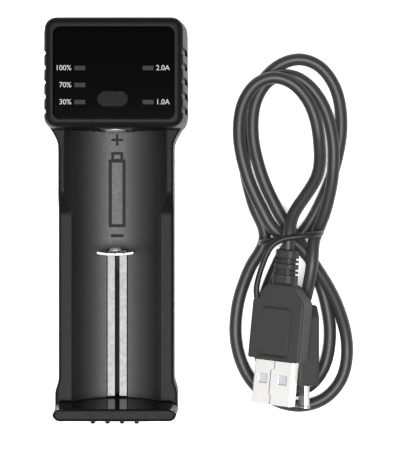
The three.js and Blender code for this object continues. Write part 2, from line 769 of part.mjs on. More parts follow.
buildHousing();
buildDisplay();
buildElectronics();
buildContacts();
buildLead();

export default group;
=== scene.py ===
"""A single-bay charger for cylindrical cells, with its tied USB lead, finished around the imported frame."""
import math

import bpy
import numpy as np
import openvdb
from mathutils import Euler, Matrix, Vector


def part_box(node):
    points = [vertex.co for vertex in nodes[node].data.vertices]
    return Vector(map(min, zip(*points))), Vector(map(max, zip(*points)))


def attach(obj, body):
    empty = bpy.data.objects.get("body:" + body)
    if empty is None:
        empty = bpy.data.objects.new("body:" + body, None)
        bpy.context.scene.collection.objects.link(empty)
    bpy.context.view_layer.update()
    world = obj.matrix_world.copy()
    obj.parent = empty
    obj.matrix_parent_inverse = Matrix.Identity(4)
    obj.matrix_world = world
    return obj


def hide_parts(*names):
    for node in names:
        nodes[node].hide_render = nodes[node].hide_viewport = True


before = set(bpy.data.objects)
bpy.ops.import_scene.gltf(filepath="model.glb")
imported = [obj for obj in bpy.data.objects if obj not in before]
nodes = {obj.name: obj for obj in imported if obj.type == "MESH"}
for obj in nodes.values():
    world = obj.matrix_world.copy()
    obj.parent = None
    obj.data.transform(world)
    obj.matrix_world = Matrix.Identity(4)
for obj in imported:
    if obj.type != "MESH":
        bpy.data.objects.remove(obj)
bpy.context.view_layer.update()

MM = 0.001

# The charger's driving dimensions, in millimetres, as the frame has them.
HEAD_HALF_WIDTH, HALF_LENGTH, HEAD_TOP = np.array(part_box("upper_housing")[1]) / MM
BODY_HALF_WIDTH = 16.9
FOOT_HALF_WIDTH = 17.95
FOOT_TOP = 27.0
HEAD_START = 26.4
FLOOR_END = -52.4
FLOOR = 8.0
WALL = 1.6
TROUGH_RADIUS = 16.0
TROUGH_AXIS = FLOOR + TROUGH_RADIUS
PARTING = 10.0
PARTING_GAP = 0.3
RAIL_LOW = 14.4
RAIL_HIGH = 17.7
STEP_START, STEP_END = 0.9, 9.1
PANEL_Y = 41.9
PANEL_HALF = (17.0, 12.85)
GRIP_PITCH = 4.2
GRIP_MIDDLE = 39.8
SCREWS = ((-12.2, -48.4), (12.2, -48.4), (-16.2, 51.6), (16.2, 51.6))
CORD_RADIUS = 1.85


def standing(place, turn, roll):
    """A place in millimetres, turned about Z and then rolled about the piece's own length, in degrees."""
    turned = Matrix.Translation(Vector(place)) @ Euler((0, 0, math.radians(turn))).to_matrix().to_4x4()
    return turned @ Euler((0, math.radians(roll), 0)).to_matrix().to_4x4()


# The plugs' places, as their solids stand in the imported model.
USB_A_PLACE = standing((47.9, -32, 16.1), -5.5, -24)
MICRO_PLACE = standing((55.1, -36.8, 7.6), 0, -75)
LARGE_NECK_TOP = 23.4
SMALL_PLUG_TOP = 11.7
LARGE_SHELL_SETBACK = 15.4
SMALL_SHELL_SETBACK = 15.3


# ---------------------------------------------------------------- distance fields
# A shape is a function of x, y, z in millimetres that is negative inside; min and max join and cut.

def meet(a, b, radius=0.0):
    """The space inside both, with the edge between them rounded."""
    if radius <= 0:
        return np.maximum(a, b)
    outside = np.hypot(np.maximum(a + radius, 0), np.maximum(b + radius, 0))
    return np.minimum(np.maximum(a, b), -radius) + outside


def join(a, b, radius=0.0):
    """The space inside either, with the corner between them filleted."""
    return -meet(-a, -b, radius)


def cut(a, b, radius=0.0):
    """a without b, with a rounded edge."""
    return meet(a, -b, radius)


def rectangle(x, y, half_x, half_y, corner=0.0):
    qx = np.abs(x) - (half_x - corner)
    qy = np.abs(y) - (half_y - corner)
    outside = np.hypot(np.maximum(qx, 0), np.maximum(qy, 0))
    return outside + np.minimum(np.maximum(qx, qy), 0) - corner


def between(value, low, high):
    return np.maximum(low - value, value - high)


def smooth(value, low, high):
    t = np.clip((value - low) / (high - low), 0, 1)
    return t * t * (3 - 2 * t)


def surface(name, shape, low, high, voxel, adaptivity):
    """A mesh of the shape's surface, with normals taken from the shape itself."""
    low, high = np.array(low, float), np.array(high, float)
    counts = np.ceil((high - low) / voxel).astype(int) + 1
    axes = [low[i] + voxel * np.arange(counts[i]) for i in range(3)]
    x, y, z = np.meshgrid(*axes, indexing="ij", sparse=True)
    values = np.broadcast_to(shape(x, y, z), counts).astype(np.float32)
    grid = openvdb.FloatGrid(background=float(values.max()))
    grid.copyFromArray(np.clip(values, -4 * voxel, 4 * voxel))
    points, triangles, quads = grid.convertToPolygons(0.0, adaptivity)
    points = points.astype(float) * voxel + low
    points, normals = settle(shape, points)
    faces = [tuple(int(i) for i in face) for face in list(triangles) + list(quads)]
    mesh = bpy.data.meshes.new(name)
    mesh.from_pydata((points * MM).tolist(), [], faces)
    mesh.validate()
    mesh.shade_smooth()
    if len(mesh.vertices) == len(normals):
        mesh.normals_split_custom_set_from_vertices(normals.tolist())
    piece = bpy.data.objects.new(name, mesh)
    bpy.context.scene.collection.objects.link(piece)
    return piece


def settle(shape, points, step=0.02):
    """Draws the points onto the shape's surface, and gives its normals there."""
    for _ in range(2):
        gradient = slope(shape, points, step)
        value = shape(points[:, 0], points[:, 1], points[:, 2])
        size = np.maximum((gradient**2).sum(1), 0.25)
        shift = gradient * (value / size)[:, None]
        length = np.linalg.norm(shift, axis=1, keepdims=True)
        points = points - shift * np.minimum(1, 0.12 / np.maximum(length, 1e-9))
    gradient = slope(shape, points, step)
    return points, gradient / np.maximum(np.linalg.norm(gradient, axis=1, keepdims=True), 1e-9)


def slope(shape, points, step):
    """The shape's gradient at the points, by differences of two steps."""
    columns = []
    for axis in range(3):
        offset = np.zeros(3)
        offset[axis] = step
        ahead, behind = points + offset, points - offset
        difference = shape(*ahead.T) - shape(*behind.T)
        columns.append(difference / (2 * step))
    return np.stack(columns, axis=1)


# ---------------------------------------------------------------- the housing's shape

def half_width(y):
    """The body's half width in plan: foot, waist and shoulders."""
    foot_flare = (FOOT_HALF_WIDTH - BODY_HALF_WIDTH) * (1 - smooth(y, -51, -46))
    shoulder = (HEAD_HALF_WIDTH - BODY_HALF_WIDTH) * smooth(y, 21.2, 31.0)
    return BODY_HALF_WIDTH + foot_flare + shoulder


def body_outline(x, y, z, inset=0.0):
    """The charger's sides in plan, drawn in slightly as they rise."""
    draft = 0.15 * np.clip((z - PARTING) / 8, 0, 1)
    sides = (np.abs(x) - half_width(y) + inset + draft) * 0.93
    ends = between(y, -HALF_LENGTH + inset, 45)
    return meet(sides, ends, 2.2)


def head_outline(x, y, z, inset=0.0):
    """The head's sides in plan, drawn in as they rise."""
    drawn_in = 1.1 * smooth(z, 16, 31)
    middle, half = (HALF_LENGTH + HEAD_START) / 2, (HALF_LENGTH - HEAD_START) / 2
    return rectangle(x, y - middle, HEAD_HALF_WIDTH - drawn_in - inset, half - inset, 3.4)


def head_grooves(x, y, z, low, high):
    """Grooves between the grip ribs on the head's sides, with sloping ends."""
    drawn_in = 1.1 * smooth(z, 16, 31)
    depth = HEAD_HALF_WIDTH - drawn_in - 0.8 - np.abs(x)
    along = between(z, low, high)
    grooves = None
    for i in range(5):
        ends = np.abs(y - (GRIP_MIDDLE + (i - 2) * GRIP_PITCH)) - 1.25 - 0.6 * depth
        groove = meet(meet(ends * 0.86, depth, 0.2), along, 0.3)
        grooves = groove if grooves is None else np.minimum(grooves, groove)
    return grooves


def foot_ribs(x, y, z, low, high):
    """Upright ribs on the foot's end face, half a pitch to each side of the middle and outwards."""
    across = np.abs(np.abs(x) - GRIP_PITCH) - GRIP_PITCH / 2
    rib = meet(np.abs(across) - 0.62, between(y, -HALF_LENGTH - 0.85, -HALF_LENGTH + 0.5), 0.3)
    return meet(rib, between(z, low, high), 0.5)


def trough(x, z, radius=TROUGH_RADIUS):
    """The round bay, which runs along Y."""
    return np.hypot(x, z - TROUGH_AXIS) - radius


def upper_shape(x, y, z):
    """The upper housing: rails and trough, head and foot, with its hollows and screw posts."""
    rail = RAIL_LOW + (RAIL_HIGH - RAIL_LOW) * smooth(y, STEP_START, STEP_END)
    bay = trough(x, z)
    rails = meet(body_outline(x, y, z), (z - rail) * 0.95, 0.7)
    rails = cut(rails, bay, 0.35)
    tub = meet(meet(-bay, trough(x, z, TROUGH_RADIUS + WALL)), z - RAIL_LOW + 1)
    tub = meet(tub, between(y, -54, 28))
    under_rails = meet(np.abs(x) - 15.2, meet(between(y, -50.6, 25), z - RAIL_LOW + WALL))
    under_rails = cut(under_rails, trough(x, z, TROUGH_RADIUS + WALL))
    trunk = np.minimum(np.maximum(rails, -under_rails), tub)

    head = meet(head_outline(x, y, z), z - HEAD_TOP, 1.9)
    face = y - FLOOR_END + (z - FLOOR) * 0.095
    corner = (np.abs(x) + y + 36.05 + (z - FLOOR) * 0.095) * 0.707
    foot = meet(meet(body_outline(x, y, z), z - FOOT_TOP, 0.9), face, 0.5)
    foot = meet(foot, corner, 0.4)
    shell = join(join(trunk, head, 0.35), foot, 0.35)

    cavity = meet(meet(np.abs(x) - 19, between(y, HEAD_START + WALL, HALF_LENGTH - WALL)), z - 26.4)
    foot_hollow = meet(meet(np.abs(x) - 15.9, between(y, -HALF_LENGTH + WALL, -55)), z - 25.2)
    recess = meet(rectangle(x, y - PANEL_Y, PANEL_HALF[0] + 0.2, PANEL_HALF[1] + 0.2, 2.1), 27.9 - z)
    ledge = meet(rectangle(x, y - PANEL_Y, 15.5, 11.35, 1), 25 - z)
    window = meet(meet(np.abs(x) - 5, between(y, HEAD_START - 0.3, 29)), between(z, FLOOR - 0.1, 25))
    inlet = meet(rectangle(x, z - 19.85, 4.3, 1.85, 0.8), 54 - y)
    strips = meet(meet(np.abs(x) - 3.05, between(y, -52.2, -8.7)), between(z, 7.2, 12))
    slot = meet(meet(np.abs(x) - 1.4, between(y, -52.2, -8.7)), between(z, 0, 12))
    shell = np.maximum(shell, -np.minimum(cavity, foot_hollow))
    shell = cut(shell, np.minimum(recess, ledge), 0.2)
    shell = cut(shell, inlet, 0.3)
    shell = np.maximum(shell, -np.minimum(window, np.minimum(strips, slot)))
    shell = cut(shell, head_grooves(x, y, z, -2, 29.0), 0.2)
    shell = join(shell, foot_ribs(x, y, z, 11, 24.2), 0.15)

    # Below the parting line only the trough's pan and the screw posts hang down.
    kept = np.minimum(PARTING - z, meet(np.abs(x) - 10.6, between(y, -54, 28)))
    for post_x, post_y in SCREWS:
        around = np.hypot(x - post_x, y - post_y)
        shell = np.minimum(shell, meet(around - 2.6, between(z, 6.2, 26.6 if post_y > 0 else 10.9)))
        shell = np.maximum(shell, -meet(around - 1.3, z - 10.2))
        kept = np.minimum(kept, around - 2.7)
    return np.maximum(shell, kept)


def lower_shape(x, y, z):
    """The lower housing: an open tray with four screw posts."""
    top = PARTING - PARTING_GAP
    outline = join(body_outline(x, y, z), head_outline(x, y, z), 0.3)
    shell = meet(meet(outline, z - top, 0.25), -z, 0.9)
    shell = cut(shell, head_grooves(x, y, z, 3, 40), 0.2)
    shell = join(shell, foot_ribs(x, y, z, 3, top), 0.15)
    inside = join(body_outline(x, y, z, 1.7), head_outline(x, y, z, 1.7), 0.3)
    shell = np.maximum(shell, -meet(inside, WALL - z))
    for post_x, post_y in SCREWS:
        around = np.hypot(x - post_x, y - post_y)
        shell = np.minimum(shell, meet(around - 3.3, between(z, 0.8, 5.9)))
        shell = np.maximum(shell, -np.minimum(meet(around - 2.55, z - 2.6), around - 1.3))
    return shell


def plate_shape(x, y, z):
    """The slider's bowed face plate, with a narrow flange on top and a neck down through the slot."""
    bow = y + 9.85 - 0.5 * (x / 5.3)**2
    face = meet(rectangle(x, z - 15, 5.3, 6, 1.4), np.abs(bow) - 0.25, 0.08)
    flange = meet(np.abs(x) - 5.3, meet(between(bow, -0.5, 0.25), between(z, 20.55, 21)), 0.08)
    neck = meet(np.abs(x) - 0.42, meet(np.abs(y + 9.7) - 0.4, between(z, 5.3, 9.6)))
    return np.minimum(np.minimum(face, flange), neck)


# ---------------------------------------------------------------- the plugs' shapes

def usb_a_shape(x, y, z):
    """The large plug's overmould: a block with sloping shoulders, a finger pad and a ribbed neck."""
    shoulder = (np.abs(x) - 8) * 0.75 + (y - 8.4) * 0.66
    plan = meet(meet(np.abs(x) - 8, between(y, -8.7, 13.4), 0.6), shoulder, 0.7)
    block = meet(plan, np.abs(z) - 3.8, 0.55)
    pad = rectangle(x + 0.2, y + 0.6, 4.5, 7.0, 0.9)
    rim = meet(np.abs(pad) - 0.22, 3.5 - np.abs(z))
    block = cut(block, rim, 0.1)
    block = cut(block, meet(pad, 3.68 - np.abs(z)), 0.08)
    half = 3.55 - 0.3 * smooth(y, 12, LARGE_NECK_TOP)
    neck = meet(rectangle(x, z, half, half - 0.45, 2.2), between(y, 12, LARGE_NECK_TOP), 0.4)
    inner = rectangle(x, z, half - 0.75, half - 1.2, 1.8)
    for middle in (17.0, 20.2):
        rings = np.minimum(np.abs(y - middle + 0.62) - 0.26, np.abs(y - middle - 0.62) - 0.26)
        slots = meet(np.abs(y - middle) - 0.8, np.abs(np.abs(x) - 1.4) - 0.5)
        neck = cut(neck, meet(np.minimum(rings, slots + 0 * z), -inner), 0.08)
    shape = join(block, neck, 0.45)
    socket = meet(rectangle(x, z, 5.9, 2.15, 0.3), y + 7.2)
    return np.maximum(shape, -socket)


def usb_a_shell_shape(x, y, z):
    """The large plug's folded steel shell, 12 by 4.5 mm, with two windows; y runs from its middle."""
    outline = rectangle(x, z, 6.0, 2.25, 0.3)
    shell = meet(outline, np.abs(y) - 6.4, 0.06)
    shell = np.maximum(shell, -(outline + 0.32))
    windows = rectangle(np.abs(x) - 3.1, y - 1.0, 1.25, 1.3, 0.15)
    shell = cut(shell, meet(windows, 0.5 - np.abs(z)), 0.05)
    return shell


def micro_shape(x, y, z):
    """The small plug's overmould, with a finger pad on each side."""
    shoulder = (np.abs(x) - 5.3) * 0.83 + (y - 8.6) * 0.56
    plan = meet(meet(np.abs(x) - 5.3, between(y, -SMALL_PLUG_TOP, SMALL_PLUG_TOP), 0.5), shoulder, 0.7)
    block = meet(plan, np.abs(z) - 3.3, 0.7)
    pad = rectangle(x, y + 1.2, 3.0, 6.4, 1.0)
    rim = meet(np.abs(pad) - 0.2, 3.05 - np.abs(z))
    return cut(block, rim, 0.1)


def micro_shell_shape(x, y, z):
    """The small plug's steel shell, narrower on its lower side, with a flared mouth."""
    narrowing = 0.5 * smooth(z, 0.1, 0.9)
    flare = 0.22 * smooth(y, -2.5, -3.2)
    outline = rectangle(x, z, 3.425 - 0.1 + flare * 0.6, 0.925 - 0.1 + flare, 0.25) + narrowing * 0.4
    shell = meet(outline, np.abs(y) - 3.3, 0.05)
    return np.maximum(shell, -(outline + 0.26))


# ---------------------------------------------------------------- materials

class Maths:
    """A value in a material's tree, with plain arithmetic."""

    def __init__(self, tree, socket):
        self.tree, self.socket = tree, socket

    def _node(self, operation, other=None):
        node = self.tree.nodes.new("ShaderNodeMath")
        node.operation = operation
        self.tree.links.new(self.socket, node.inputs[0])
        if isinstance(other, Maths):
            self.tree.links.new(other.socket, node.inputs[1])
        elif other is not None:
            node.inputs[1].default_value = other
        return Maths(self.tree, node.outputs[0])

    def __add__(self, other):
        return self._node("ADD", other)

    def __sub__(self, other):
        return self._node("SUBTRACT", other)

    def __mul__(self, other):
        return self._node("MULTIPLY", other)

    def absolute(self):
        return self._node("ABSOLUTE")

    def lowest(self, other):
        return self._node("MINIMUM", other)

    def highest(self, other):
        return self._node("MAXIMUM", other)

    def fade(self, low, high):
        """0 at low, 1 at high."""
        node = self.tree.nodes.new("ShaderNodeMapRange")
        node.interpolation_type = "SMOOTHSTEP"
        self.tree.links.new(self.socket, node.inputs["Value"])
        node.inputs["From Min"].default_value = low
        node.inputs["From Max"].default_value = high
        return Maths(self.tree, node.outputs["Result"])


class Finish:
    """A procedural material: a base colour with slight variation, a roughness and a fine grain."""

    def __init__(self, name, colour, roughness, metallic=0.0, grain=0.0, grain_size=0.3,
                 variation=0.06, specular=0.5, coat=0.0, coat_roughness=0.05):
        self.material = bpy.data.materials.new(name)
        self.material.use_nodes = True
        self.tree = self.material.node_tree
        self.shader = self.tree.nodes["Principled BSDF"]
        self.shader.inputs["Metallic"].default_value = metallic
        self.shader.inputs["Specular IOR Level"].default_value = specular
        self.shader.inputs["Coat Weight"].default_value = coat
        self.shader.inputs["Coat Roughness"].default_value = coat_roughness
        self.place = self.tree.nodes.new("ShaderNodeTexCoord").outputs["Object"]
        self.colour = self.mixed(self.noise(2.5, 3.0), [c * (1 - variation) for c in colour],
                                 [min(1, c * (1 + variation)) for c in colour])
        self.roughness = self.noise(1.2, 4.0).fade(0.2, 0.8) * (0.12 * roughness) + 0.94 * roughness
        if grain:
            bump = self.tree.nodes.new("ShaderNodeBump")
            bump.inputs["Strength"].default_value = grain
            bump.inputs["Distance"].default_value = 0.05 * MM
            self.tree.links.new(self.noise(grain_size, 2.0).socket, bump.inputs["Height"])
            self.tree.links.new(bump.outputs[0], self.shader.inputs["Normal"])
        self.connect()

    def noise(self, size, detail):
        """Noise with lumps about size millimetres across."""
        node = self.tree.nodes.new("ShaderNodeTexNoise")
        self.tree.links.new(self.place, node.inputs["Vector"])
        node.inputs["Scale"].default_value = 1 / (size * MM)
        node.inputs["Detail"].default_value = detail
        return Maths(self.tree, node.outputs["Fac"])

    def mixed(self, factor, low, high):
        """A colour from low to high as the factor goes from 0 to 1."""
        node = self.tree.nodes.new("ShaderNodeMix")
        node.data_type = "RGBA"
        self.tree.links.new(factor.socket, node.inputs[0])
        for i, value in ((6, low), (7, high)):
            if isinstance(value, bpy.types.NodeSocket):
                self.tree.links.new(value, node.inputs[i])
            else:
                node.inputs[i].default_value = (*value, 1)
        return node.outputs[2]

    def axes(self):
        """The place in the piece's own frame, in millimetres."""
        node = self.tree.nodes.new("ShaderNodeSeparateXYZ")
        self.tree.links.new(self.place, node.inputs[0])
        return [Maths(self.tree, output) * (1 / MM) for output in node.outputs]

    def connect(self):
        """Puts the colour and the roughness on the shader."""
        self.tree.links.new(self.colour, self.shader.inputs["Base Color"])
        self.tree.links.new(self.roughness.socket, self.shader.inputs["Roughness"])

    def where(self, mask, colour=None, roughness=None):
        """Another colour or roughness wherever the mask is 1."""
        if colour is not None:
            self.colour = self.mixed(mask, self.colour, colour)
        if roughness is not None:
            self.roughness = self.roughness + (self.roughness * -1 + roughness) * mask
        self.connect()


def box_of(x, y, middle_x, middle_y, half_x, half_y):
    """In a material's tree, the distance outside an upright rectangle."""
    return ((x - middle_x).absolute() - half_x).highest((y - middle_y).absolute() - half_y)


def bay_finish(name):
    """The bay's plastic, with the plus, the cell and the minus moulded dark into its floor, and painted
    light on the floor inside the cell's outline.
    """
    plastic = Finish(name, (0.003, 0.003, 0.0032), 0.6, grain=0.3, grain_size=0.22, specular=0.78)
    x, y, z = plastic.axes()
    plastic.where(x.absolute().fade(8.5, 13.5), roughness=0.4)
    # Painted light: the floor inside the cell's outline is painted lighter, standing in for light falling on
    # a flat pad there.
    painted_light_inside_can = box_of(x, y, 0, 7.9, 1.6, 9.1)
    plastic.where(painted_light_inside_can.fade(0.05, -0.05), colour=(0.009, 0.009, 0.0092))
    plus = box_of(x, y, 0, 23.7, 1.72, 0.38).lowest(box_of(x, y, 0, 23.7, 0.38, 1.65))
    can = box_of(x, y, 0, 7.9, 2.5, 10.0).highest(box_of(x, y, 0, 7.9, 1.58, 9.1) * -1)
    nub = box_of(x, y, 0, 18.8, 1.75, 1.3).highest(box_of(x, y, 0, 18.7, 0.95, 0.62) * -1)
    minus = box_of(x, y, 0, -4.6, 1.9, 0.45)
    marked = plus.lowest(can).lowest(nub).lowest(minus)
    marked = marked.fade(0.06, -0.06) * (z - 14).fade(0, -0.2)
    plastic.where(marked, colour=(0.002, 0.002, 0.002), roughness=0.95)
    return plastic


# ---------------------------------------------------------------- helpers for placing pieces

def paint(piece, finish):
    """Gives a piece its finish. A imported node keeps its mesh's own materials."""
    if piece.name in nodes and piece.material_slots:
        for place in piece.material_slots:
            place.link = "OBJECT"
            place.material = finish.material
    else:
        piece.data.materials.append(finish.material)


def soften(piece, width):
    """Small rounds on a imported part's edges."""
    bevel = piece.modifiers.new("edge_rounds", "BEVEL")
    bevel.width = width * MM
    bevel.segments = 2
    bevel.limit_method = "ANGLE"
    bevel.angle_limit = math.radians(35)
    bevel.harden_normals = True


def place_at(piece, place):
    """Stands a piece made about the origin at its place, given in millimetres."""
    move = place.copy()
    move.translation = place.translation * MM
    piece.matrix_world = move


# ---------------------------------------------------------------- camera and cord

camera = bpy.data.objects.new("camera", bpy.data.cameras.new("camera"))
camera.data.sensor_fit = "HORIZONTAL"
camera.data.sensor_width = 36
camera.data.lens = 167.5
camera.location = (0.0264, -0.00145, 0.576)
bpy.context.scene.collection.objects.link(camera)
bpy.context.scene.camera = camera

# The tied hank is a figure of eight, five loops long, with every loop starting and ending at its waist.
# A loop has its far end's y, its middle's x, its half width, the side that it starts on (1 is the right)
# and its height. Its start and finish each have an x and a height at the waist, and the share of the
# loop's reach over which the cord comes level.
HANK_WAIST = -5.4
CORD_LOW = 2.0
LOOP_STEPS = 14
LOOP_TAPER = 0.4
# The most that the teardrop below reaches to one side, by which it is scaled to the half width.
LOOP_WIDEST = 0.803
HANK_LOOPS = (
    (42, 46.4, 11.2, 1, 9.4, (51.6, 15.4, 0.6), (48.6, 8.8, 0.4)),
    (-55.5, 54.0, 15.4, 1, CORD_LOW, (51.2, 8.8, 0.55), (45.2, CORD_LOW, 0.5)),
    (48.0, 54.0, 12.8, -1, CORD_LOW, (45.2, CORD_LOW, 0.5), (53.8, CORD_LOW, 0.5)),
    (-51, 52.4, 10.6, -1, CORD_LOW, (52.6, CORD_LOW, 0.5), (53.2, 5.7, 0.25)),
    (43.0, 49.8, 10.9, -1, 5.6, (53.2, 5.8, 0.5), (58, 8.8, 0.3)),
)
LARGE_NECK_END = USB_A_PLACE @ Vector((0, LARGE_NECK_TOP, 0))
SMALL_PLUG_END = MICRO_PLACE @ Vector((0, SMALL_PLUG_TOP, 0))
# The cord's points between the plugs and the loops.
CORD_OUT = (LARGE_NECK_END, (50.6, -3.8, 15.8), (52, 2, 14.4))
CORD_IN = ((58, -6.5, 10), (57.4, -13, 11), (56.4, -19.5, 10), SMALL_PLUG_END)


def loop_points(end, middle, half, side, level, start, finish, first=1):
    """One teardrop loop of the hank, from the waist round its far end and back."""
    points = []
    for step in range(first, LOOP_STEPS):
        angle = math.tau * step / LOOP_STEPS
        along = (1 - math.cos(angle)) / 2
        waist_x, waist_z, reach = start if step <= LOOP_STEPS / 2 else finish
        across = side * half / LOOP_WIDEST * math.sin(angle) * along**LOOP_TAPER
        x = waist_x + (middle - waist_x) * along + across
        y = HANK_WAIST + (end - HANK_WAIST) * along
        z = waist_z + (level - waist_z) * min(1, along / reach)
        points.append((x, y, z))
    return points


def cord_points():
    """The cord's centreline from the large plug's neck, round the loops, to the small plug."""
    points = list(CORD_OUT) + loop_points(*HANK_LOOPS[0], first=3)
    for loop in HANK_LOOPS[1:]:
        points += loop_points(*loop)
    return points + list(CORD_IN)


def round_curve(name, points, radius, steps=10):
    """A round cord through the points, as one smooth line."""
    places = [Vector(point) * MM for point in points]
    places = [places[0] * 2 - places[1]] + places + [places[-1] * 2 - places[-2]]
    line = []
    for i in range(1, len(places) - 2):
        a, b, c, d = places[i - 1:i + 3]
        for k in range(steps):
            t = k / steps
            line.append(0.5 * (2 * b + (c - a) * t + (2 * a - 5 * b + 4 * c - d) * t**2
                               + (3 * b - a - 3 * c + d) * t**3))
    line.append(places[-2])
    curve = bpy.data.curves.new(name, "CURVE")
    curve.dimensions = "3D"
    spline = curve.splines.new("POLY")
    spline.points.add(len(line) - 1)
    for point, place in zip(spline.points, line):
        point.co = (*place, 1)
    curve.bevel_depth = radius * MM
    curve.bevel_resolution = 6
    curve.use_fill_caps = True
    spline.use_smooth = True
    piece = bpy.data.objects.new(name, curve)
    bpy.context.scene.collection.objects.link(piece)
    length = sum((b - a).length for a, b in zip(line, line[1:]))
    return piece, length


vinyl = Finish("cord_vinyl", (0.022, 0.022, 0.0228), 0.45, grain=0.15, grain_size=0.5, specular=0.32)
tie_plastic = Finish("tie_plastic", (0.010, 0.010, 0.0102), 0.5, grain=0.2, specular=0.3)
moulding = Finish("plug_moulding", (0.024, 0.024, 0.0246), 0.55, specular=0.25, grain=0.35, grain_size=0.25)

cord, cord_length = round_curve("lead_cord", cord_points(), CORD_RADIUS)
paint(cord, vinyl)
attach(cord, "lead")
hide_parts("lead_hank")

# The twist tie: its ring's middle and half size round the waist, and its free tail over the front strands.
TIE_MIDDLE = (51.2, -5.2, 9.9)
TIE_HALF = (8.9, 9.0)
TIE_LEAN = 1.4
TIE_STEPS = 18
TIE_TOP = math.radians(100)
TIE_ROUNDNESS = 0.7
TIE_RADIUS = 0.85
TIE_TAIL = ((41, -22.5, 18.2), (41, -19, 18.4), (42.5, -13.5, 18.2), (45, -8, 18.8))


def tie_points():
    """The tail first, then the ring, a rounded oblong that leans a little along the hank."""
    points = list(TIE_TAIL)
    for step in range(TIE_STEPS + 1):
        angle = TIE_TOP - math.tau * step / TIE_STEPS
        across = math.copysign(abs(math.cos(angle))**TIE_ROUNDNESS, math.cos(angle))
        up = math.copysign(abs(math.sin(angle))**TIE_ROUNDNESS, math.sin(angle))
        x = TIE_MIDDLE[0] + TIE_HALF[0] * across
        points.append((x, TIE_MIDDLE[1] + TIE_LEAN * across, TIE_MIDDLE[2] + TIE_HALF[1] * up))
    return points


tie, _ = round_curve("lead_twist_tie", tie_points(), TIE_RADIUS)
paint(tie, tie_plastic)
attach(tie, "lead")
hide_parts("lead_tie")


# ---------------------------------------------------------------- housings and plugs

BODY_VOXEL = 0.3
upper = surface("upper_shell", upper_shape, (-22, -60, 5), (22, 59, 31.2), BODY_VOXEL, 0.05)
lower = surface("lower_shell", lower_shape, (-22, -60, -1.2), (22, 59, 10.9), BODY_VOXEL, 0.05)
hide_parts("upper_housing")
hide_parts("lower_housing")
housing_plastic = Finish("housing_plastic", (0.0058, 0.0058, 0.006), 0.45, grain=0.3, grain_size=0.22,
                         specular=0.066)
bay_plastic = bay_finish("bay_plastic")
paint(upper, housing_plastic)
upper.data.materials.append(bay_plastic.material)
foot_gloss = Finish("foot_gloss", (0.001, 0.001, 0.0011), 0.12, specular=0.5, variation=0.03)
upper.data.materials.append(foot_gloss.material)
BAY_SLOT, FOOT_SLOT = 1, 2
for face in upper.data.polygons:
    x, y, z = face.center / MM
    rail = RAIL_LOW + (RAIL_HIGH - RAIL_LOW) * smooth(y, STEP_START, STEP_END)
    in_bay = abs(math.hypot(x, z - TROUGH_AXIS) - TROUGH_RADIUS) < 0.25 and 7.7 < z < rail - 0.12
    if in_bay and -53.2 < y < HEAD_START - 0.1:
        face.material_index = BAY_SLOT
    elif face.normal.y > 0.9 and y < FLOOR_END + 0.2:
        face.material_index = FOOT_SLOT
paint(lower, housing_plastic)
for piece in (upper, lower):
    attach(piece, "charger")

large_plug = surface("usb_a_moulding", usb_a_shape, (-9, -9.6, -4.8), (9, 24.4, 4.8), 0.22, 0.03)
place_at(large_plug, USB_A_PLACE)
small_plug = surface("micro_usb_moulding", micro_shape, (-6.3, -12.8, -4.3), (6.3, 12.8, 4.3), 0.18, 0.03)
place_at(small_plug, MICRO_PLACE)
large_shell = surface("usb_a_steel", usb_a_shell_shape, (-6.3, -6.7, -2.6), (6.3, 6.7, 2.6), 0.09, 0.02)
place_at(large_shell, USB_A_PLACE @ Matrix.Translation((0, -LARGE_SHELL_SETBACK, 0)))
small_shell = surface("micro_usb_steel", micro_shell_shape, (-3.9, -3.6, -1.4), (3.9, 3.6, 1.4), 0.07, 0.02)
place_at(small_shell, MICRO_PLACE @ Matrix.Translation((0, -SMALL_SHELL_SETBACK, 0)))
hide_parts("usb_a_overmould")
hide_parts("micro_usb_overmould")
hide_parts("usb_a_shell")
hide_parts("micro_usb_shell")


def bright_steel(name):
    """The plug shells' bright steel."""
    return Finish(name, (0.8, 0.79, 0.76), 0.34, metallic=1.0, grain=0.1, grain_size=0.6, variation=0.04)


def seamed_steel_finish(name):
    """Bright steel with the large shell's dovetailed seam drawn on its upper face."""
    finish = bright_steel(name)
    x, y, z = finish.axes()
    dovetail = y.fade(3.7, 4.1) + y.fade(-3.6, -3.2) * -0.5
    seam = (x + 0.3 + dovetail * -1).absolute().fade(0.16, 0.08) * z.fade(1.9, 2.1)
    finish.where(seam, colour=(0.12, 0.12, 0.11), roughness=0.6)
    return finish


plug_steel = bright_steel("plug_steel")
seamed_steel = seamed_steel_finish("seamed_steel")
for piece, finish in ((large_shell, seamed_steel), (small_shell, plug_steel)):
    paint(piece, finish)
    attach(piece, "lead")
for piece in (large_plug, small_plug):
    paint(piece, moulding)
    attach(piece, "lead")

tuple(c * MM for c in CORD_OUT[0])


plate = surface("slider_face", plate_shape, (-6, -11, 4.6), (6, -8.4, 21.6), 0.12, 0.02)
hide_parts("slider_plate")
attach(plate, "slider")


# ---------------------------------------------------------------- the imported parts' finishes

gloss_black = Finish("panel_gloss", (0.001, 0.001, 0.0011), 0.05, specular=0.3, variation=0.03)
window_grey = Finish("window_grey", (0.019, 0.019, 0.02), 0.5, specular=0.08, variation=0.1)
button_grey = Finish("button_grey", (0.0085, 0.0085, 0.009), 0.5, grain=0.2, specular=0.04)
board_green = Finish("board_green", (0.0, 0.15, 0.035), 0.35, variation=0.15)
nickel = Finish("nickel", (0.72, 0.71, 0.68), 0.24, metallic=1.0, variation=0.03)
satin_nickel = Finish("satin_nickel", (0.3, 0.3, 0.29), 0.6, metallic=0.7, variation=0.03)
plate_metal = Finish("plate_metal", (0.22, 0.22, 0.215), 0.5, metallic=1.0, variation=0.03)
strip_metal = Finish("strip_metal", (0.108, 0.108, 0.107), 0.5, metallic=1.0, variation=0.03)
steel = Finish("steel", (0.74, 0.73, 0.71), 0.2, metallic=1.0, variation=0.03)
black_moulding = Finish("black_moulding", (0.003, 0.003, 0.003), 0.5, specular=0.1)
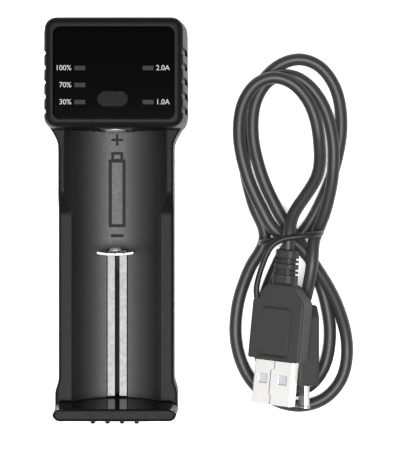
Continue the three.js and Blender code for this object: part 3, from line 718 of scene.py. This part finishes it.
wire_red = Finish("wire_insulation", (0.16, 0.012, 0.01), 0.4)
tongue_white = Finish("tongue_white", (0.36, 0.38, 0.4), 0.4, specular=0.2)
led_clear = Finish("led_lens", (0.5, 0.5, 0.46), 0.15)

FINISHES = (
    (("display_panel",), gloss_black, 0.25, "panel"),
    (("charge_window_full", "charge_window_middle", "charge_window_low", "current_window_high",
      "current_window_low"), window_grey, 0.08, "window"),
    (("charge_led_full", "charge_led_middle", "charge_led_low", "current_led_high",
      "current_led_low"), led_clear, 0.05, "led"),
    (("mode_button",), button_grey, 0.2, "button"),
    (("main_board", "contact_board"), board_green, 0.05, "circuit_board"),
    (("guide_strip_left", "guide_strip_right"), strip_metal, 0.12, "steel"),
    (("positive_contact", "slider_dome"), satin_nickel, 0.12, "nickel"),
    (("usb_inlet_shell",), nickel, 0.12, "nickel"),
    (("slider_spring", "spring_anchor", "housing_screw_foot_left", "housing_screw_foot_right",
      "housing_screw_head_left", "housing_screw_head_right"), steel, 0.08, "steel"),
    (("controller_chip", "charging_chip", "power_inductor", "input_capacitor", "output_capacitor",
      "switch_base", "switch_plunger", "light_shroud_charge", "light_shroud_current",
      "usb_inlet_tongue", "slider_carriage"), black_moulding, 0.1, "black_moulding"),
    (("negative_wire", "positive_wire"), wire_red, 0, "wire"),
    (("usb_a_tongue", "micro_usb_tongue"), tongue_white, 0.1, "white_tongue"),
)
paint(plate, plate_metal)
for names, finish, width, slot in FINISHES:
    for name in names:
        paint(nodes[name], finish)
        if width:
            soften(nodes[name], width)


# ---------------------------------------------------------------- numerals

numeral_ink = Finish("numeral_ink", (0.34, 0.34, 0.34), 0.5, variation=0.02)
NUMERALS = (
    ("100%", -12.0, 43.2, "RIGHT"), ("70%", -12.0, 38.35, "RIGHT"), ("30%", -12.0, 33.5, "RIGHT"),
    ("2.0A", 12.0, 43.2, "LEFT"), ("1.0A", 12.0, 33.5, "LEFT"),
)
PANEL_TOP = 29.7
NUMERAL_SIZE = 2.1
NUMERAL_RISE = 0.012
for i, (words, x, y, side) in enumerate(NUMERALS):
    text = bpy.data.curves.new(f"numerals_{i + 1}", "FONT")
    text.body = words
    text.size = NUMERAL_SIZE * MM
    text.align_x = side
    text.align_y = "CENTER"
    text.extrude = NUMERAL_RISE * MM
    piece = bpy.data.objects.new(f"numerals_{i + 1}", text)
    piece.location = (x * MM, y * MM, (PANEL_TOP + NUMERAL_RISE) * MM)
    bpy.context.scene.collection.objects.link(piece)
    paint(piece, numeral_ink)
    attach(piece, "charger")


# ---------------------------------------------------------------- floor and light

floor_mesh = bpy.data.meshes.new("floor")
FLOOR_HALF = 3.0
floor_mesh.from_pydata([(-FLOOR_HALF, -FLOOR_HALF, 0), (FLOOR_HALF, -FLOOR_HALF, 0),
                        (FLOOR_HALF, FLOOR_HALF, 0), (-FLOOR_HALF, FLOOR_HALF, 0)], [], [(0, 1, 2, 3)])
floor = bpy.data.objects.new("floor", floor_mesh)
bpy.context.scene.collection.objects.link(floor)
floor_finish = bpy.data.materials.new("floor_white")
floor_finish.use_nodes = True
floor_inputs = floor_finish.node_tree.nodes["Principled BSDF"].inputs
floor_inputs["Base Color"].default_value = (0.93, 0.93, 0.93, 1)
floor_inputs["Roughness"].default_value = 0.9
floor_inputs["Emission Color"].default_value = (1, 1, 1, 1)
floor_inputs["Emission Strength"].default_value = 0.4
floor_mesh.materials.append(floor_finish)


def soft_light(name, place, aim, width, depth, power):
    """A rectangular lamp at a place, aimed at a point, in metres and watts."""
    light = bpy.data.lights.new(name, "AREA")
    light.shape = "RECTANGLE"
    light.size, light.size_y = width, depth
    light.energy = power
    lamp = bpy.data.objects.new(name, light)
    lamp.location = place
    lamp.rotation_euler = (Vector(aim) - Vector(place)).to_track_quat("-Z", "Y").to_euler()
    bpy.context.scene.collection.objects.link(lamp)


soft_light("overhead", (0.02, -0.13, 1.2), (0.02, -0.13, 0), 0.7, 0.38, 27)
soft_light("side_left", (-0.9, -0.15, 0.8), (0.03, -0.03, 0), 0.5, 0.5, 1.2)

world = bpy.data.worlds.new("studio")
world.use_nodes = True
sky = world.node_tree.nodes["Background"].inputs
sky["Color"].default_value = (0.9, 0.92, 1, 1)
sky["Strength"].default_value = 0.045
bpy.context.scene.world = world
bpy.context.scene.view_settings.view_transform = "Standard"
